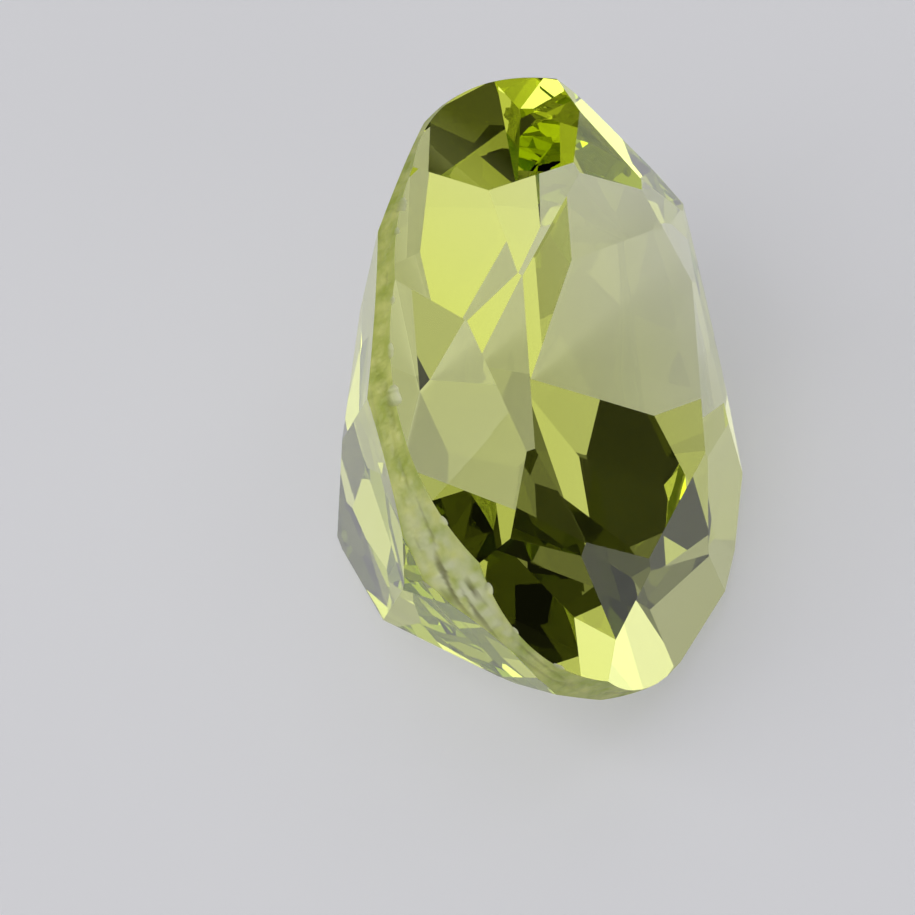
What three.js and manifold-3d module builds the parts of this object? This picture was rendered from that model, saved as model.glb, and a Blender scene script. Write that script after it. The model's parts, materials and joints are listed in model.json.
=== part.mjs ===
// A cut and polished oval peridot, lying on one long facet of its pavilion with the table tilted up.
// Millimetres, +Z up. The stone is worked out in the cutter's frame (girdle level, long axis along Y, table up),
// one facet after the other, and then laid down.
import * as THREE from 'three';
import { mergeVertices } from 'three/addons/utils/BufferGeometryUtils.js';
import Module from 'manifold-3d';

// Driving dimensions
const LENGTH = 7.0;
const WIDTH = 5.0;
const CROWN_HEIGHT = 0.51;
const GIRDLE_THICKNESS = 0.15;
const GIRDLE_SIDES = 120;

// Crown and pavilion are cut by hand, one after the other, and neither sits quite true on the girdle's oval.
// Level is the height of the half's own zero, and tip is the way it is turned, in degrees about X, Y and Z.
const CROWN_SEAT = { across: 0.05, along: -0.01, level: 0, tip: [0, 0, -0.5] };
const PAVILION_SEAT = { across: -0.04, along: -0.09, level: -GIRDLE_THICKNESS, tip: [0.5, -3, -2] };

// The crown's main facets go from the girdle up. Turn is counted from the +Y end of the long axis towards +X,
// slope is the facet's angle to the girdle plane, and height is where the facet's plane meets the girdle's wall.
const CROWN_MAINS = [
  { turn: 0, slope: 26, height: 0.01 },
  { turn: 62.5, slope: 29.5, height: -0.1 },
  { turn: 90, slope: 24.5, height: 0 },
];
// The star facets lie between the mains and the table. Reach is how far from the axis they meet the table's level.
const STARS = [
  { turn: 31.5, slope: 13.5, tableReach: 2.03 },
  { turn: 74.5, slope: 16, tableReach: 1.31 },
];
// The pavilion's main facets go from the girdle down to the keel, and the breaks edge them along the girdle.
const PAVILION_FACETS = [
  { turn: 0, slope: 52, height: 0.12 },
  { turn: 57, slope: 45.5, height: -0.01 },
  { turn: 9.5, slope: 53.5, height: 0.04 },
  { turn: 37, slope: 54.5, height: -0.07 },
  { turn: 67, slope: 60.5, height: -0.02 },
  { turn: 81, slope: 52, height: 0.14 },
];
// The two long sides of the pavilion. The stone lies on the first.
const LYING_FACET = { turn: 90, slope: 45, height: -0.08 };
const FAR_FACET = { turn: 270, slope: 46, height: -0.09 };

const DEGREE = Math.PI / 180;
const HALF_LENGTH = LENGTH / 2;
const HALF_WIDTH = WIDTH / 2;
const BLOCK = 4 * LENGTH;
const UP = new THREE.Vector3(0, 0, 1);
const DOWN = new THREE.Vector3(0, 0, -1);

const wasm = await Module();
wasm.setup();

function solidFrom(geometry) {
  geometry.deleteAttribute('normal');
  geometry.deleteAttribute('uv');
  const merged = mergeVertices(geometry, 1e-6);
  return new wasm.Manifold(new wasm.Mesh({
    numProp: 3,
    vertProperties: new Float32Array(merged.attributes.position.array),
    triVerts: new Uint32Array(merged.index.array),
  }));
}

function geometryFrom(solid) {
  const mesh = solid.getMesh();
  const geometry = new THREE.BufferGeometry();
  geometry.setAttribute('position', new THREE.BufferAttribute(mesh.vertProperties, 3));
  geometry.setIndex(new THREE.BufferAttribute(mesh.triVerts, 1));
  return geometry;
}

// Where one half of the stone sits: turned about its own zero, and moved off the middle of the oval.
function seatOf({ across, along, level, tip }) {
  const axis = new THREE.Vector3(...tip);
  const turn = new THREE.Quaternion().setFromAxisAngle(axis.clone().normalize(), axis.length() * DEGREE);
  return new THREE.Matrix4().compose(new THREE.Vector3(across, along, level), turn, new THREE.Vector3(1, 1, 1));
}

// Direction of a facet that looks away from the axis. Side is 1 on the crown, -1 below.
function facetNormal(turn, slope, side) {
  const out = Math.sin(slope * DEGREE);
  return new THREE.Vector3(
    out * Math.sin(turn * DEGREE),
    out * Math.cos(turn * DEGREE),
    side * Math.cos(slope * DEGREE),
  );
}

// A point at a distance from the axis in the direction of a turn.
function pointAt(turn, distance, height) {
  return new THREE.Vector3(distance * Math.sin(turn * DEGREE), distance * Math.cos(turn * DEGREE), height);
}

// How far the oval reaches in a direction: the distance from the axis to its tangent line.
function reach(turn) {
  return Math.hypot(HALF_WIDTH * Math.sin(turn * DEGREE), HALF_LENGTH * Math.cos(turn * DEGREE));
}

// Takes away all that lies beyond the plane through the point, facing along the normal. Both are in the seat's frame.
function grind(stone, seat, normal, point) {
  const facing = normal.clone().transformDirection(seat);
  const place = point.clone().applyMatrix4(seat);
  const block = new THREE.BoxGeometry(BLOCK, BLOCK, BLOCK);
  block.translate(0, 0, BLOCK / 2);
  block.applyQuaternion(new THREE.Quaternion().setFromUnitVectors(UP, facing));
  block.translate(place.x, place.y, place.z);
  return stone.subtract(solidFrom(block));
}

// Mirrors a turn into the four quarters of the oval. The ends and the sides come out once each.
function quarters(turn) {
  return [...new Set([turn, 180 - turn, 180 + turn, (360 - turn) % 360])];
}

// The crown's star facets are ground before the table, and the mains before both.
function cutCrown(stone) {
  const seat = seatOf(CROWN_SEAT);
  let cut = stone;
  for (const { turn, slope, height } of CROWN_MAINS) {
    for (const way of quarters(turn)) {
      cut = grind(cut, seat, facetNormal(way, slope, 1), pointAt(way, reach(way), height));
    }
  }
  for (const { turn, slope, tableReach } of STARS) {
    for (const way of quarters(turn)) {
      cut = grind(cut, seat, facetNormal(way, slope, 1), pointAt(way, tableReach, CROWN_HEIGHT));
    }
  }
  return grind(cut, seat, UP, new THREE.Vector3(0, 0, CROWN_HEIGHT));
}

function cutPavilion(stone) {
  const seat = seatOf(PAVILION_SEAT);
  const mirrored = PAVILION_FACETS.flatMap((facet) => quarters(facet.turn).map((way) => ({ ...facet, turn: way })));
  let cut = stone;
  for (const { turn, slope, height } of [...mirrored, LYING_FACET, FAR_FACET]) {
    cut = grind(cut, seat, facetNormal(turn, slope, -1), pointAt(turn, reach(turn), height));
  }
  return cut;
}

// The oval blank, as long as the finished stone and much higher.
function preform() {
  const blank = new THREE.CylinderGeometry(1, 1, 2 * LENGTH, GIRDLE_SIDES);
  blank.rotateX(Math.PI / 2);
  blank.scale(HALF_WIDTH, HALF_LENGTH, 1);
  return solidFrom(blank);
}

// Lays the stone down: the lying facet's direction is turned to straight down, and then the stone is turned
// on the spot until its long axis runs along Y. Returns the move that sets it on the ground in the middle.
function layDown(geometry) {
  const sole = facetNormal(LYING_FACET.turn, LYING_FACET.slope, -1).transformDirection(seatOf(PAVILION_SEAT));
  const fall = new THREE.Quaternion().setFromUnitVectors(sole, DOWN);
  const axis = new THREE.Vector3(0, 1, 0).applyQuaternion(fall);
  const swing = new THREE.Quaternion().setFromAxisAngle(UP, Math.atan2(axis.x, axis.y));
  geometry.applyQuaternion(swing.multiply(fall));
  geometry.computeBoundingBox();
  const { min, max } = geometry.boundingBox;
  return new THREE.Vector3(-(min.x + max.x) / 2, -(min.y + max.y) / 2, -min.z);
}

const stoneGeometry = geometryFrom(cutPavilion(cutCrown(preform())));
const place = layDown(stoneGeometry);

const polished = new THREE.MeshStandardMaterial({ color: '#a8b658', roughness: 0.05, metalness: 0 });
const stone = new THREE.Mesh(stoneGeometry, polished);
stone.name = 'peridot';
stone.position.copy(place);

const group = new THREE.Group();
group.add(stone);

export default group;
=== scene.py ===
# %% [markdown]
# A cut oval peridot, seven millimetres long, lies loose on a pale table. A cut stone is flat
# facets and nothing else, so this lesson works the way a cutter does: it reads the planes of the
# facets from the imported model, works out again where they meet, and then adds what a plain solid
# lacks: the wavy ground girdle with its grain and nicks, and a clear green crystal that bends light.

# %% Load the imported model
import bpy
import numpy as np
from mathutils import Matrix, Vector
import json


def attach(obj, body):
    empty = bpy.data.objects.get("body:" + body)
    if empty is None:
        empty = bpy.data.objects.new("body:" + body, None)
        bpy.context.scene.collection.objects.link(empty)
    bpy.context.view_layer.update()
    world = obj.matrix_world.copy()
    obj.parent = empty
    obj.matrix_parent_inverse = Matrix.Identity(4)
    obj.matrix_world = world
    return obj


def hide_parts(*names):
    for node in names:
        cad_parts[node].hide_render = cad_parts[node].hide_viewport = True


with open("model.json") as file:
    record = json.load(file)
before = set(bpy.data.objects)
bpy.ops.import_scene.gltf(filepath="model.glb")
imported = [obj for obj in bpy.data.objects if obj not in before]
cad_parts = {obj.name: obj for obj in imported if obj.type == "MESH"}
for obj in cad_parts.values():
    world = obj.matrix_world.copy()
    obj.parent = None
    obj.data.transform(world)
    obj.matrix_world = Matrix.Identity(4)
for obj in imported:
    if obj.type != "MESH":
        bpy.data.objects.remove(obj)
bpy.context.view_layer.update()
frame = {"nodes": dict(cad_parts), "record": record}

MM = 0.001

# %% [markdown]
# The facets come first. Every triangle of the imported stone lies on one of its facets, and all
# triangles of one facet share one plane. So the planes are found by taking the largest triangle,
# collecting all others on its plane, and going on with the largest that is left. It would be
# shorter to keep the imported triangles, but a plane is exact, so edges can be worked out from it
# at any fineness.

# %% Find the planes of the facets
def triangles_of(node):
    """The node's corners as one array: triangle, corner, coordinate."""
    mesh = frame["nodes"][node].data
    mesh.calc_loop_triangles()
    corners = np.empty(len(mesh.vertices) * 3)
    mesh.vertices.foreach_get("co", corners)
    index = np.empty(len(mesh.loop_triangles) * 3, int)
    mesh.loop_triangles.foreach_get("vertices", index)
    return corners.reshape(-1, 3)[index].reshape(-1, 3, 3)


def planes_of(triangles, slack=3e-7):
    """One row per plane: its outward normal and its distance from the origin, largest first."""
    normals = np.cross(triangles[:, 1] - triangles[:, 0], triangles[:, 2] - triangles[:, 0])
    areas = np.linalg.norm(normals, axis=1)
    left = areas > 1e-14
    rows = []
    while left.any():
        first = np.argmax(np.where(left, areas, 0))
        normal = normals[first] / areas[first]
        distance = triangles[first, 0] @ normal
        off = np.abs(triangles @ normal - distance).max(axis=1)
        near = left & (off < slack)
        total = areas[near].sum()
        left &= ~near
        rows.append([total, *normal, distance])
    rows = np.array(sorted(rows, reverse=True))
    return rows[:, 1:4], rows[:, 4]


stone_triangles = triangles_of("peridot")
plane_normals, plane_distances = planes_of(stone_triangles)
print("planes found:", len(plane_distances))

# %% [markdown]
# A cutter thinks of the stone with its table level: table up, long axis across. The record's
# table mount says which way the table faces. The long axis comes from the girdle: the corners of
# its wall lie on an oval, so the oval is fitted to them as a conic, whose matrix has the two axes
# as its eigenvectors. Then each facet is crown (facing up), pavilion (facing down) or a strip of
# the wall, which faces level.

# %% Set up the cutter's directions
mounts = {mount["name"]: mount for mount in frame["record"]["mounts"]}
up = plane_normals[np.argmax(plane_normals @ np.array(mounts["table"]["axis"], float))]


def oval_of(flat):
    """Centre, half-axes and axis directions of the conic a x2 + b xy + c y2 + d x + e y = 1."""
    x, y = flat.T / MM
    terms = np.column_stack([x * x, x * y, y * y, x, y])
    a, b, c, d, e = np.linalg.lstsq(terms, np.ones(len(x)), rcond=None)[0]
    shape = np.array([[a, b / 2], [b / 2, c]])
    centre = -np.linalg.solve(2 * shape, [d, e])
    values, directions = np.linalg.eigh(shape / (1 + centre @ shape @ centre))
    return centre * MM, MM / np.sqrt(values), directions.T


level_strips = np.abs(plane_normals @ up) < 0.02
strip_normals, strip_distances = plane_normals[level_strips], plane_distances[level_strips]
all_corners = np.unique(np.round(stone_triangles.reshape(-1, 3) / 1e-8), axis=0) * 1e-8
on_wall = (np.abs(all_corners @ strip_normals.T - strip_distances) < 3e-7).any(axis=1)
flat_x = np.cross([0.0, 1.0, 0.0], up)
flat_x /= np.linalg.norm(flat_x)
flat = np.stack([flat_x, np.cross(up, flat_x)])
centre, (half_along, half_across), directions = oval_of(all_corners[on_wall] @ flat.T)
along = directions[0] @ flat
along *= np.sign(along[1])
cutter = np.stack([np.cross(along, up), along, up])
middle = centre @ flat
print("oval in mm:", round(2 * half_along / MM, 4), "by", round(2 * half_across / MM, 4))

normals = plane_normals @ cutter.T
distances = plane_distances - plane_normals @ middle
crown = np.flatnonzero(normals[:, 2] > 0.02)
pavilion = np.flatnonzero(normals[:, 2] < -0.02)
print("crown facets:", len(crown), "pavilion facets:", len(pavilion), "wall strips:", level_strips.sum())


def height_on(rows, spots):
    """Height of each facet's plane over each point of the level plane."""
    return (distances[rows] - spots @ normals[rows, :2].T) / normals[rows, 2]


# %% [markdown]
# The girdle is the stone's rim: a narrow wall on an oval. Its two edges are not level. Where a
# facet is at its middle it dips into the wall, and where two facets meet the wall stands tall, so
# both edges run in scallops. The wall's top is the lowest of the crown's planes over each point
# of the oval, and its foot is the highest of the pavilion's.
#
# This stone was not ground evenly: on one long side crown and pavilion meet before they reach the
# oval, so there the rim is a sharp edge a little further in. How far in is found by halving a gap.

# %% Find the rim
HALVINGS = 40
FURTHEST_IN = 0.5 * MM


def oval(turn):
    """Points of the oval: half its width times the sine, half its length times the cosine."""
    return np.stack([half_across * np.sin(turn), half_along * np.cos(turn)], axis=-1)


def outward(turn):
    """Level directions square to the oval: sine over half its width, cosine over half its length."""
    way = np.stack([np.sin(turn) / half_across, np.cos(turn) / half_along], axis=-1)
    return way / np.linalg.norm(way, axis=-1, keepdims=True)


def wall_at(spots):
    """Height of the wall over points of the level plane: lowest crown plane less highest pavilion plane."""
    return height_on(crown, spots).min(axis=1) - height_on(pavilion, spots).max(axis=1)


def rim_of(turn):
    """Points of the oval, moved in to the sharp edge where the wall would be less than nothing."""
    spots, way = oval(turn), outward(turn)
    low, high = np.zeros(len(turn)), np.full(len(turn), FURTHEST_IN)
    sharp = wall_at(spots) < 0
    for _ in range(HALVINGS):
        half = (low + high) / 2
        outside = wall_at(spots - half[:, None] * way) < 0
        low, high = np.where(outside, half, low), np.where(outside, high, half)
    return spots - np.where(sharp, high, 0)[:, None] * way


# %% [markdown]
# Peridot is brittle, and where the crown meets the ground wall the edge has been knocked: small
# glassy bites have broken out of it. Each one is given by its place on the rim, its length along
# the edge, how deep it goes into the crown and how far down the wall. Its outline is half an
# ellipse with a little noise on it, because a fracture never runs smoothly.

# %% Break small bites out of the crown's edge
# Turn around the rim in degrees, then half length, depth and reach down the wall.
BITES = [
    (274, 0.100 * MM, 0.060 * MM, 0.100 * MM),
    (268, 0.050 * MM, 0.030 * MM, 0.050 * MM),
    (254, 0.045 * MM, 0.022 * MM, 0.040 * MM),
    (245, 0.080 * MM, 0.035 * MM, 0.060 * MM),
    (237, 0.110 * MM, 0.060 * MM, 0.140 * MM),
    (212, 0.050 * MM, 0.022 * MM, 0.050 * MM),
    (196, 0.060 * MM, 0.026 * MM, 0.060 * MM),
    (185, 0.045 * MM, 0.018 * MM, 0.050 * MM),
    (171, 0.070 * MM, 0.022 * MM, 0.050 * MM),
]
BITE_LUMPS = 0.06 * MM
SMALLEST_REACH = 0.01 * MM


def lattice_noise(u, v, seed):
    """Smooth noise from -1 to 1: random values on whole numbers, eased between by 3t^2 - 2t^3."""
    values = np.random.default_rng(seed).uniform(-1, 1, (257, 257))
    iu, iv = np.floor(u).astype(int), np.floor(v).astype(int)
    fu, fv = u - iu, v - iv
    fu, fv = fu * fu * (3 - 2 * fu), fv * fv * (3 - 2 * fv)
    a, b = values[iu % 256, iv % 256], values[(iu + 1) % 256, iv % 256]
    c, d = values[iu % 256, (iv + 1) % 256], values[(iu + 1) % 256, (iv + 1) % 256]
    return (a * (1 - fu) + b * fu) * (1 - fv) + (c * (1 - fu) + d * fu) * fv


def bitten(turn):
    """Depth and reach of the bites at each turn: half ellipses, each roughened by noise."""
    spots = oval(turn)
    depth, reach = np.zeros(len(turn)), np.full(len(turn), SMALLEST_REACH)
    lumps = 1 + 0.3 * lattice_noise(spots[:, 0] / BITE_LUMPS + 60, spots[:, 1] / BITE_LUMPS + 60, 5)
    for degrees, half_length, deep, down in BITES:
        off = np.linalg.norm(spots - oval(np.radians(degrees)), axis=1) / half_length
        bump = np.sqrt(np.clip(1 - off ** 2, 0, 1)) * lumps
        depth, reach = np.maximum(depth, deep * bump), np.maximum(reach, down * bump)
    return depth, reach


# %% [markdown]
# Now both edges of the wall can be followed around the stone in small even steps. The places
# where one facet hands over to the next are corners of the scallops, so each is found exactly, by
# halving the step in which it lies, and takes the place of the nearest even step.

# %% Work out the two edges of the girdle
ROUND_STEPS = 2400
STEP = 2 * np.pi / ROUND_STEPS


def top_spots(turn):
    """Where the crown's edge runs over the level plane: the rim, moved in by the bites."""
    return rim_of(turn) - bitten(turn)[0][:, None] * outward(turn)


def edge_heights(turn):
    """Top, its facet, foot, its facet, around the rim."""
    tops, feet = height_on(crown, top_spots(turn)), height_on(pavilion, rim_of(turn))
    return tops.min(axis=1), crown[tops.argmin(axis=1)], feet.max(axis=1), pavilion[feet.argmax(axis=1)]


def changes(turn, owner, column):
    """Turns at which the edge passes from one facet to the next, found by halving the gap."""
    here = np.flatnonzero(owner != np.roll(owner, -1))
    low, high = turn[here], turn[here] + STEP
    before = owner[here]
    for _ in range(HALVINGS):
        half = (low + high) / 2
        same = edge_heights(half)[column] == before
        low, high = np.where(same, half, low), np.where(same, high, half)
    return (low + high) / 2


even = np.arange(ROUND_STEPS) * STEP
_, top_owner, _, foot_owner = edge_heights(even)
meets = np.concatenate([changes(even, top_owner, 1), changes(even, foot_owner, 3)])
gaps = np.abs((even[:, None] - meets[None, :] + np.pi) % (2 * np.pi) - np.pi).min(axis=1)
turns = np.sort(np.concatenate([even[gaps > 0.25 * STEP], meets]))
tops, top_owner, feet, foot_owner = edge_heights(turns)
rim = rim_of(turns)
bite_depth, bite_reach = bitten(turns)
print("girdle columns:", len(turns), "of them bitten:", (bite_depth > 0).sum())
print("wall height in mm:", (tops - feet).min() / MM, "to", (tops - feet).max() / MM)
print("share of the rim that is a sharp edge:", ((tops - feet) < 1e-9).mean())

# %% [markdown]
# Each facet is one flat polygon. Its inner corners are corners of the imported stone, and along the
# girdle it takes every point of the rim where its plane is the one that cuts the wall. A facet of
# a convex stone is convex, so putting its corners in order is easy: sort them by the angle at
# which they lie around its middle. The bites would upset that order, so the angles are measured
# on the unbroken edge.

# %% Put the facets' corners in order
PLANE_SLACK = 4e-7
RIM_SLACK = 1e-8
SAME_PLACE = 0.003 * MM
top_points = np.column_stack([top_spots(turns), tops])
foot_points = np.column_stack([rim, feet])
packed = (all_corners[~on_wall] - middle) @ cutter.T
from_rim = np.linalg.norm(packed[:, None] - top_points[None], axis=2).min(axis=1)
inner = packed[from_rim > SAME_PLACE]


def facet_corners(row):
    """Numbers of the facet's corners in the stone's list of points, in order around it."""
    on_plane = np.abs(inner @ normals[row] - distances[row]) < PLANE_SLACK
    inside = inner_start + np.flatnonzero(on_plane)
    edge_points, start = (top_points, top_start) if normals[row, 2] > 0 else (foot_points, foot_start)
    near_rim = np.abs(edge_points @ normals[row] - distances[row]) < RIM_SLACK
    chain = start + np.flatnonzero(near_rim)
    corners = np.concatenate([inside, chain])
    spots = unbroken[corners]
    centre_of_facet = spots.mean(axis=0)
    first = np.cross(normals[row], [0.3, 0.5, 0.8])
    first /= np.linalg.norm(first)
    second = np.cross(normals[row], first)
    way = spots - centre_of_facet
    order = np.argsort(np.arctan2(way @ second, way @ first))
    return corners[order]


top_start = 0
foot_start = len(turns)
inner_start = 2 * len(turns)
points = np.concatenate([top_points, foot_points, inner])
unbroken = np.concatenate([np.column_stack([rim, height_on(crown, rim).min(axis=1)]), foot_points, inner])
facets = [facet_corners(row) for row in np.concatenate([crown, pavilion])]
print("facets:", len(facets), "corners of each:", sorted(len(facet) for facet in facets)[:12])

# %% [markdown]
# The girdle's wall was never polished: it was ground round on a coarse wheel, which leaves a sugary
# grain and long fine marks. Its surface is a grid of the turn around the stone and the way up the
# wall. Grain and marks are seeded noises added to the grid, and they fade out at both edges, so
# that the wall still meets the polished facets point for point. Near one end of the stone the
# wall is worn, and there it is whiter and the marks are stronger. A painted texture could show
# all this as well, but only real grooves catch the light from every side.

# %% Make the ground wall of the girdle
WALL_ROWS = 24
GRAIN_DEPTH = 0.006 * MM
GRAIN_SIZE = 0.05 * MM
MARK_LENGTH = 0.3 * MM
MARK_WIDTH = 0.045 * MM
SUGARY_TURN = np.radians(198)
SUGARY_SPREAD = np.radians(24)
SUGAR_SIZE = 0.07 * MM

share = np.linspace(0, 1, WALL_ROWS + 1)[1:-1, None]
wall_height = feet + share * (tops - feet)
around = np.cumsum(np.linalg.norm(rim - np.roll(rim, 1, axis=0), axis=1)) + 0 * wall_height
grain = sum(
    lattice_noise(around * k / GRAIN_SIZE, wall_height * k / GRAIN_SIZE + 40, seed) / k
    for seed, k in enumerate([1, 2.1])
)
long_noise = lattice_noise(around / MARK_LENGTH, wall_height / MARK_WIDTH + 90, 7)
wheel_marks = (2 * long_noise - 0.6).clip(0, 1)
fade = np.sin(np.pi * share) ** 0.5
sink = (grain - wheel_marks - 1.2) * fade * np.minimum(GRAIN_DEPTH, (tops - feet) / WALL_ROWS)
bite_share = np.clip(1 - (tops - wall_height) / bite_reach, 0, 1) ** 0.7
wall_level = rim[None] + (sink - bite_depth * bite_share)[..., None] * outward(turns)[None]
worn_end = np.clip(1 - np.abs(turns - SUGARY_TURN) / SUGARY_SPREAD, 0, 1)
sugar_noise = lattice_noise(around / SUGAR_SIZE, wall_height / SUGAR_SIZE + 20, 8)
sugar = worn_end ** 0.7 * (0.7 + 0.7 * sugar_noise).clip(0, 1) * fade
crushed = np.maximum(np.where(bite_depth > 0, bite_share, 0), sugar)
scratched = wheel_marks * (0.25 + 0.75 * worn_end) * fade
wall_points = np.concatenate([wall_level, wall_height[..., None]], axis=2).reshape(-1, 3)
wall_start = len(points)
points = np.concatenate([points, wall_points])

columns = len(turns)
row_numbers = np.vstack([
    foot_start + np.arange(columns),
    wall_start + np.arange((WALL_ROWS - 1) * columns).reshape(-1, columns),
    top_start + np.arange(columns),
])
right = np.roll(row_numbers, -1, axis=1)
wall_faces = np.stack([row_numbers[:-1], row_numbers[1:], right[1:], right[:-1]], axis=2).reshape(-1, 4)
unmarked = np.zeros(wall_start - columns)
wall_marks = {
    "crushed": np.concatenate([(bite_depth > 0), unmarked, crushed.ravel()]),
    "scratched": np.concatenate([np.zeros(columns), unmarked, scratched.ravel()]),
}
print("wall faces:", len(wall_faces))

# %% [markdown]
# Facets and wall become one closed mesh, so that it is clear everywhere what is inside the crystal
# and what is outside. The wall is shaded smooth and takes the second of the stone's two finishes,
# and the facets are flat and take the first. Each point also carries two numbers, which the
# wall's finish reads: crushed is 1 in the bites, and scratched is 1 in the marks of the wheel.

# %% Join facets and wall in one closed mesh
def piece_from(name, places, faces, ground_from, marks):
    """A mesh from points and faces. The last faces are the ground wall; marks are numbers on points."""
    mesh = bpy.data.meshes.new(name)
    mesh.from_pydata(places.tolist(), [], faces)
    mesh.validate()
    is_wall = np.arange(len(mesh.polygons)) >= ground_from
    mesh.polygons.foreach_set("use_smooth", is_wall)
    mesh.polygons.foreach_set("material_index", is_wall.astype(int))
    for mark, amount in marks.items():
        mesh.attributes.new(mark, "FLOAT", "POINT").data.foreach_set("value", amount.astype(float))
    mesh.update()
    piece = bpy.data.objects.new(name, mesh)
    bpy.context.collection.objects.link(piece)
    return piece


places = points @ cutter + middle
all_faces = [facet.tolist() for facet in facets] + wall_faces.tolist()
stone = piece_from("cut_peridot", places, all_faces, len(facets), wall_marks)

import bmesh
WELD = 0.0001 * MM
solid = bmesh.new()
solid.from_mesh(stone.data)
bmesh.ops.remove_doubles(solid, verts=solid.verts, dist=WELD)
bmesh.ops.dissolve_degenerate(solid, edges=solid.edges, dist=WELD)
bmesh.ops.delete(solid, geom=[e for e in solid.edges if not e.link_faces], context="EDGES")
bmesh.ops.delete(solid, geom=[v for v in solid.verts if not v.link_faces], context="VERTS")
bmesh.ops.recalc_face_normals(solid, faces=solid.faces)
open_edges = sum(1 for e in solid.edges if not e.is_manifold)
print("open edges:", open_edges, "volume in mm3:", solid.calc_volume(signed=True) / MM ** 3)
solid.to_mesh(stone.data)
solid.free()

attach(stone, "root")
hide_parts("peridot")

# %% [markdown]
# Peridot is an iron-bearing olivine: clear, yellow-green all through, and strongly refracting. The
# colour isn't on the surface. It comes from the way the light has run inside, so the surface is
# white and perfectly see-through, and a volume that swallows blue and a little red does the
# tinting: thin edges come out pale and deep parts saturated. The ground wall lets only part of
# the light through and scatters the rest. The bites in it are crushed white, and so is its worn
# lower end, and the marks of the wheel hold a little brown dirt.

# %% Set up the material helpers
def linear(code):
    """Linear colour from an sRGB hex code."""
    parts = np.array([int(code[i:i + 2], 16) / 255 for i in (1, 3, 5)])
    parts = np.where(parts <= 0.04045, parts / 12.92, ((parts + 0.055) / 1.055) ** 2.4)
    return (*parts, 1.0)


def add(tree, kind, settings=None, **links):
    """Adds a node, sets its inputs by name, and links inputs to other nodes' outputs."""
    node = tree.nodes.new(kind)
    for name, value in (settings or {}).items():
        if name in node.inputs:
            node.inputs[name].default_value = value
        else:
            setattr(node, name, value)
    for name, source in links.items():
        tree.links.new(source, node.inputs[name.replace("_", " ")])
    return node


def new_material(name):
    material = bpy.data.materials.new(name)
    material.use_nodes = True
    material.node_tree.nodes.clear()
    return material, material.node_tree


# %% [markdown]
# The stone has two finishes of one crystal. They share refraction and absorption, because the
# inside is the same wherever the light goes in, and differ in how rough the surface is and how
# much light it lets through. All these are plain values.

# %% Make the crystal's two finishes
# The body: strong refraction, and a clear yellow-green that takes the blue out of what passes through.
CRYSTAL_TINT = "#F8FD76"
CRYSTAL_DENSITY = 0.25 / MM
PERIDOT_IOR = 1.67


def peridot(name, roughness, clear):
    """A finish of the stone: how rough it is and which share of the light goes in."""
    material, tree = new_material(name)
    shader = add(tree, "ShaderNodeBsdfPrincipled", {
        "Base Color": (1, 1, 1, 1), "Roughness": roughness,
        "IOR": PERIDOT_IOR, "Transmission Weight": clear,
    })
    volume = add(tree, "ShaderNodeVolumeAbsorption", {
        "Color": linear(CRYSTAL_TINT), "Density": CRYSTAL_DENSITY,
    })
    add(tree, "ShaderNodeOutputMaterial", Surface=shader.outputs[0], Volume=volume.outputs[0])
    return material, tree, shader


# Polished with diamond powder: mirror-smooth, and all light that isn't reflected goes in.
polished, tree, shader = peridot("polished_peridot", 0.0, 1.0)

# %% [markdown]
# The ground finish gets its colour from three layers. A noise mottles it in two greens, the bites
# and the worn end are laid over it in crushed white, and the wheel's marks in brown dirt. The
# last two follow the numbers on the points, so they sit exactly where the mesh has them.

# %% Colour the ground finish
# Ground on a coarse wheel: sugary, mottled, half of the light scattered back.
WALL_PALE, WALL_DEEP = "#EEF08A", "#BCC94C"
CRUSHED, DIRT = "#FAFAD2", "#6B6428"
MOTTLE_SIZE = 0.22 * MM
ground, tree, shader = peridot("ground_peridot", 0.42, 0.45)
place = add(tree, "ShaderNodeTexCoord")
mottle = add(tree, "ShaderNodeTexNoise", {"Scale": 1 / MOTTLE_SIZE, "Detail": 4.0},
             Vector=place.outputs["Object"])
patches = add(tree, "ShaderNodeMapRange", {"From Min": 0.35, "From Max": 0.65},
              Value=mottle.outputs["Fac"])
crushed = add(tree, "ShaderNodeAttribute", {"attribute_name": "crushed"})
scratched = add(tree, "ShaderNodeAttribute", {"attribute_name": "scratched"})


def blend(share, first, second):
    """Colour between two, by a share. The first is a hex code or a node's output, the second a hex code."""
    mix = add(tree, "ShaderNodeMix", {"data_type": "RGBA"})
    tree.links.new(share, mix.inputs[0])
    if isinstance(first, str):
        mix.inputs[6].default_value = linear(first)
    else:
        tree.links.new(first, mix.inputs[6])
    mix.inputs[7].default_value = linear(second)
    return mix.outputs[2]


colour = blend(patches.outputs["Result"], WALL_DEEP, WALL_PALE)
colour = blend(crushed.outputs["Fac"], colour, CRUSHED)
colour = blend(scratched.outputs["Fac"], colour, DIRT)
tree.links.new(colour, shader.inputs["Base Color"])
stone.data.materials.append(polished)
stone.data.materials.append(ground)
print("finishes:", [material.name for material in stone.data.materials])

# %% [markdown]
# The stone lies on a sheet of pale diffuser that glows evenly from below, which is how small
# stones are often photographed: the sheet shows through the crystal as calm pale windows. A hair
# of air stays between stone and sheet, as under any real stone. Without it the facet and the
# sheet would share one plane, and the render would mix up the two.

# %% Lay out the pale sheet
PAPER = "#C4C4C8"
SHEET_GLOW = 0.54
SHEET_REACH = 0.35
AIR_GAP = 0.01 * MM


def flat_piece(name, corners, material):
    """A four-cornered stage piece."""
    mesh = bpy.data.meshes.new(name)
    mesh.from_pydata(corners, [], [(0, 1, 2, 3)])
    mesh.materials.append(material)
    piece = bpy.data.objects.new(name, mesh)
    bpy.context.collection.objects.link(piece)
    return piece


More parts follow.
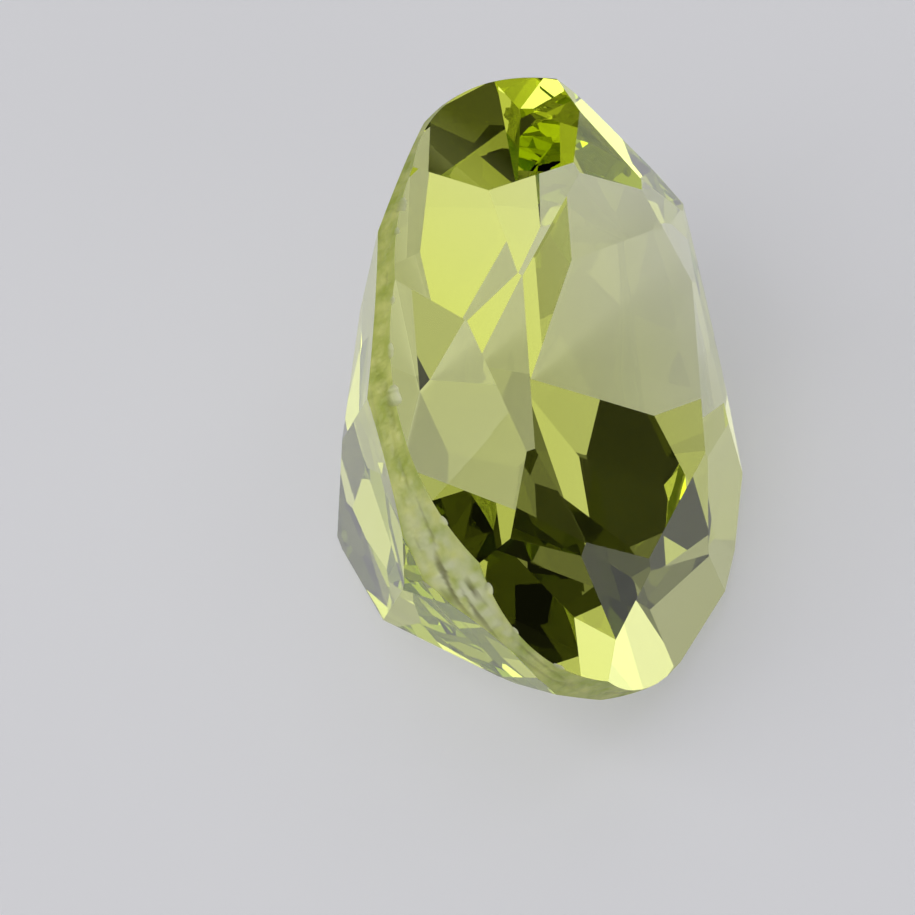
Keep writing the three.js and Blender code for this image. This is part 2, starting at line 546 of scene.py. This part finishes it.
paper, tree = new_material("pale_diffuser_sheet")
shader = add(tree, "ShaderNodeBsdfPrincipled", {
    "Base Color": linear(PAPER), "Roughness": 0.8, "Specular IOR Level": 0.0,
    "Emission Color": linear(PAPER), "Emission Strength": SHEET_GLOW,
})
add(tree, "ShaderNodeOutputMaterial", Surface=shader.outputs[0])
ways = [(-1, -1), (1, -1), (1, 1), (-1, 1)]
sheet_corners = [(x * SHEET_REACH, y * SHEET_REACH, -AIR_GAP) for x, y in ways]
flat_piece("table_top", sheet_corners, paper)

# %% [markdown]
# A cut stone shows its surroundings in every facet, so the surroundings are the picture. The room
# is dark, apart from the sheet, which goes on as a pale ground to the horizon. Round soft boxes
# stand in it: a low ring near the table, which the steep pavilion facets look at, and a few higher
# ones, each of which fills some of the windows in the stone. Where no box is, a facet stays dark
# green. The boxes are listed by where they stand, how wide they look and how bright they are. Their
# first places came from a search program that compared a traced stone with the photograph, and
# they were then changed by eye. So they suit this one view best.

# %% Set up the dark room and the soft boxes
ROOM = 0.007
scene = bpy.context.scene
world = bpy.data.worlds.new("dark_room")
world.use_nodes = True
tree = world.node_tree
tree.nodes.clear()
way = add(tree, "ShaderNodeTexCoord")
height = add(tree, "ShaderNodeSeparateXYZ", Vector=way.outputs["Generated"])
rise = add(tree, "ShaderNodeMapRange", {"From Min": -0.01, "From Max": 0.01}, Value=height.outputs["Z"])
tone = add(tree, "ShaderNodeMix", {"data_type": "RGBA"})
tone.inputs[6].default_value = linear(PAPER)
tone.inputs[7].default_value = (ROOM, ROOM, ROOM, 1)
tree.links.new(rise.outputs["Result"], tone.inputs[0])
glow = add(tree, "ShaderNodeBackground", {"Strength": 1.0}, Color=tone.outputs[2])
add(tree, "ShaderNodeOutputWorld", Surface=glow.outputs[0])
scene.world = world
scene.view_settings.view_transform = "Standard"
scene.cycles.max_bounces = 32
scene.cycles.transmission_bounces = 32
scene.cycles.glossy_bounces = 16
scene.cycles.diffuse_bounces = 4

LIGHT_DISTANCE = 0.5


def direction_of(azimuth, elevation):
    """Azimuth 0 is the camera's side and grows to the picture's right; elevation is over the table."""
    a, e = np.radians([azimuth, elevation])
    return Vector((np.sin(a) * np.cos(e), -np.cos(a) * np.cos(e), np.sin(e)))


def soft_box(name, azimuth, elevation, spread, brightness):
    """A round soft box that faces the stone. Its power is its brightness times pi times its area."""
    radius = LIGHT_DISTANCE * np.tan(np.radians(spread) / 2)
    data = bpy.data.lights.new(name, "AREA")
    data.shape = "DISK"
    data.size = 2 * radius
    data.energy = brightness * np.pi * np.pi * radius ** 2
    lamp = bpy.data.objects.new(name, data)
    bpy.context.collection.objects.link(lamp)
    way = direction_of(azimuth, elevation)
    facing = way.to_track_quat("Z", "Y").to_matrix().to_4x4()
    lamp.matrix_world = Matrix.Translation(way * LIGHT_DISTANCE) @ facing


# name, azimuth, elevation, spread, brightness
SOFT_BOXES = [
    ("front_low", 45, 10, 56, 0.45),
    ("front", 10, 25, 40, 0.50),
    ("front_right", 30, 14, 26, 0.40),
    ("right_low", 106, 0, 10, 1.25),
    ("right", 92, 41, 28, 0.12),
    ("back_right_low", 148, 10, 18, 0.40),
    ("back_right_middle", 133, 39, 14, 0.50),
    ("back_right", 134, 57, 18, 0.67),
    ("back_middle", 149, 47, 28, 0.15),
    ("back_low", 177, 12, 12, 1.20),
    ("back", 183, 33, 14, 0.70),
    ("back_left", 210, 43, 56, 0.40),
    ("far_left_low", 235, 6, 40, 0.20),
    ("left", 266, 29, 18, 0.80),
    ("left_wide", 300, 35, 50, 1.50),
    ("front_left", 335, 30, 44, 1.40),
    ("left_high", 308, 60, 24, 0.60),
    ("top", 25, 78, 56, 0.52),
]
for box in SOFT_BOXES:
    soft_box(*box)
print("soft boxes:", len(SOFT_BOXES))

# %% [markdown]
# The stone's large flat table is a mirror too. Seen from the camera it mirrors one small spot low
# behind the stone, to the right, and if that spot were pale, a milky veil would lie over all the
# dark facets. So a photographer stands a small black card there, outside the picture.

# %% Stand a black card where the table mirrors it
CARD_AZIMUTH = 135
CARD_DISTANCE = 40 * MM
CARD_HALF_WIDTH = 7 * MM
CARD_HEIGHT = 5 * MM
card_paper, tree = new_material("black_card")
shader = add(tree, "ShaderNodeBsdfPrincipled", {
    "Base Color": linear("#101010"), "Roughness": 0.9, "Specular IOR Level": 0.0,
})
add(tree, "ShaderNodeOutputMaterial", Surface=shader.outputs[0])
foot = direction_of(CARD_AZIMUTH, 0) * CARD_DISTANCE
sideways = direction_of(CARD_AZIMUTH + 90, 0) * CARD_HALF_WIDTH
top = Vector((0, 0, CARD_HEIGHT))
card_corners = [foot - sideways, foot + sideways, foot + sideways + top, foot - sideways + top]
flat_piece("black_card", card_corners, card_paper)

# %% [markdown]
# The camera stands where the photographer's stood: almost in front of the stone and well above
# it, a hand's breadth away, with a long lens and a slight tilt. Its place is given by the angles,
# by how many pixels show one millimetre, and by the pixel in which the middle of the girdle lies.
# These numbers were fitted by laying the stone's outline over the photograph's.

# %% Camera at the photograph's angle
PHOTO_PIXELS = 915
PIXELS_PER_MM = 107.2
GIRDLE_PIXEL = (568.8, 382.1)
CAMERA_AZIMUTH = 3.6
CAMERA_ELEVATION = 43.8
CAMERA_ROLL = 3.8
CAMERA_DISTANCE = 200 * MM
SENSOR = 36
CROWN_HEIGHT = 0.51 * MM

toward = direction_of(CAMERA_AZIMUTH, CAMERA_ELEVATION)
level_right = Vector((0, 0, 1)).cross(toward).normalized()
lift = toward.cross(level_right)
roll = np.radians(CAMERA_ROLL)
image_right = level_right * np.cos(roll) + lift * np.sin(roll)
image_up = toward.cross(image_right)
table_height = distances[np.argmax(normals[:, 2])]
girdle_centre = Vector(middle + up * (table_height - CROWN_HEIGHT))
pixel = MM / PIXELS_PER_MM
off_x = (GIRDLE_PIXEL[0] - PHOTO_PIXELS / 2) * pixel
off_y = (PHOTO_PIXELS / 2 - GIRDLE_PIXEL[1]) * pixel
aim = girdle_centre - image_right * off_x - image_up * off_y
camera_data = bpy.data.cameras.new("camera")
camera = bpy.data.objects.new("camera", camera_data)
bpy.context.collection.objects.link(camera)
camera_data.sensor_width = SENSOR
camera_data.lens = SENSOR * CAMERA_DISTANCE / (PHOTO_PIXELS * pixel)
camera_data.clip_start = 0.01
camera_data.clip_end = 2.0
turn_to_view = Matrix((image_right, image_up, toward)).transposed().to_4x4()
camera.matrix_world = Matrix.Translation(aim + toward * CAMERA_DISTANCE) @ turn_to_view
scene.camera = camera

# %% [markdown]
# Facets and wall come from the imported model's own planes, so nothing may stand out of its box:
# the grain and the bites only go inward.

# %% Load the json module
import json
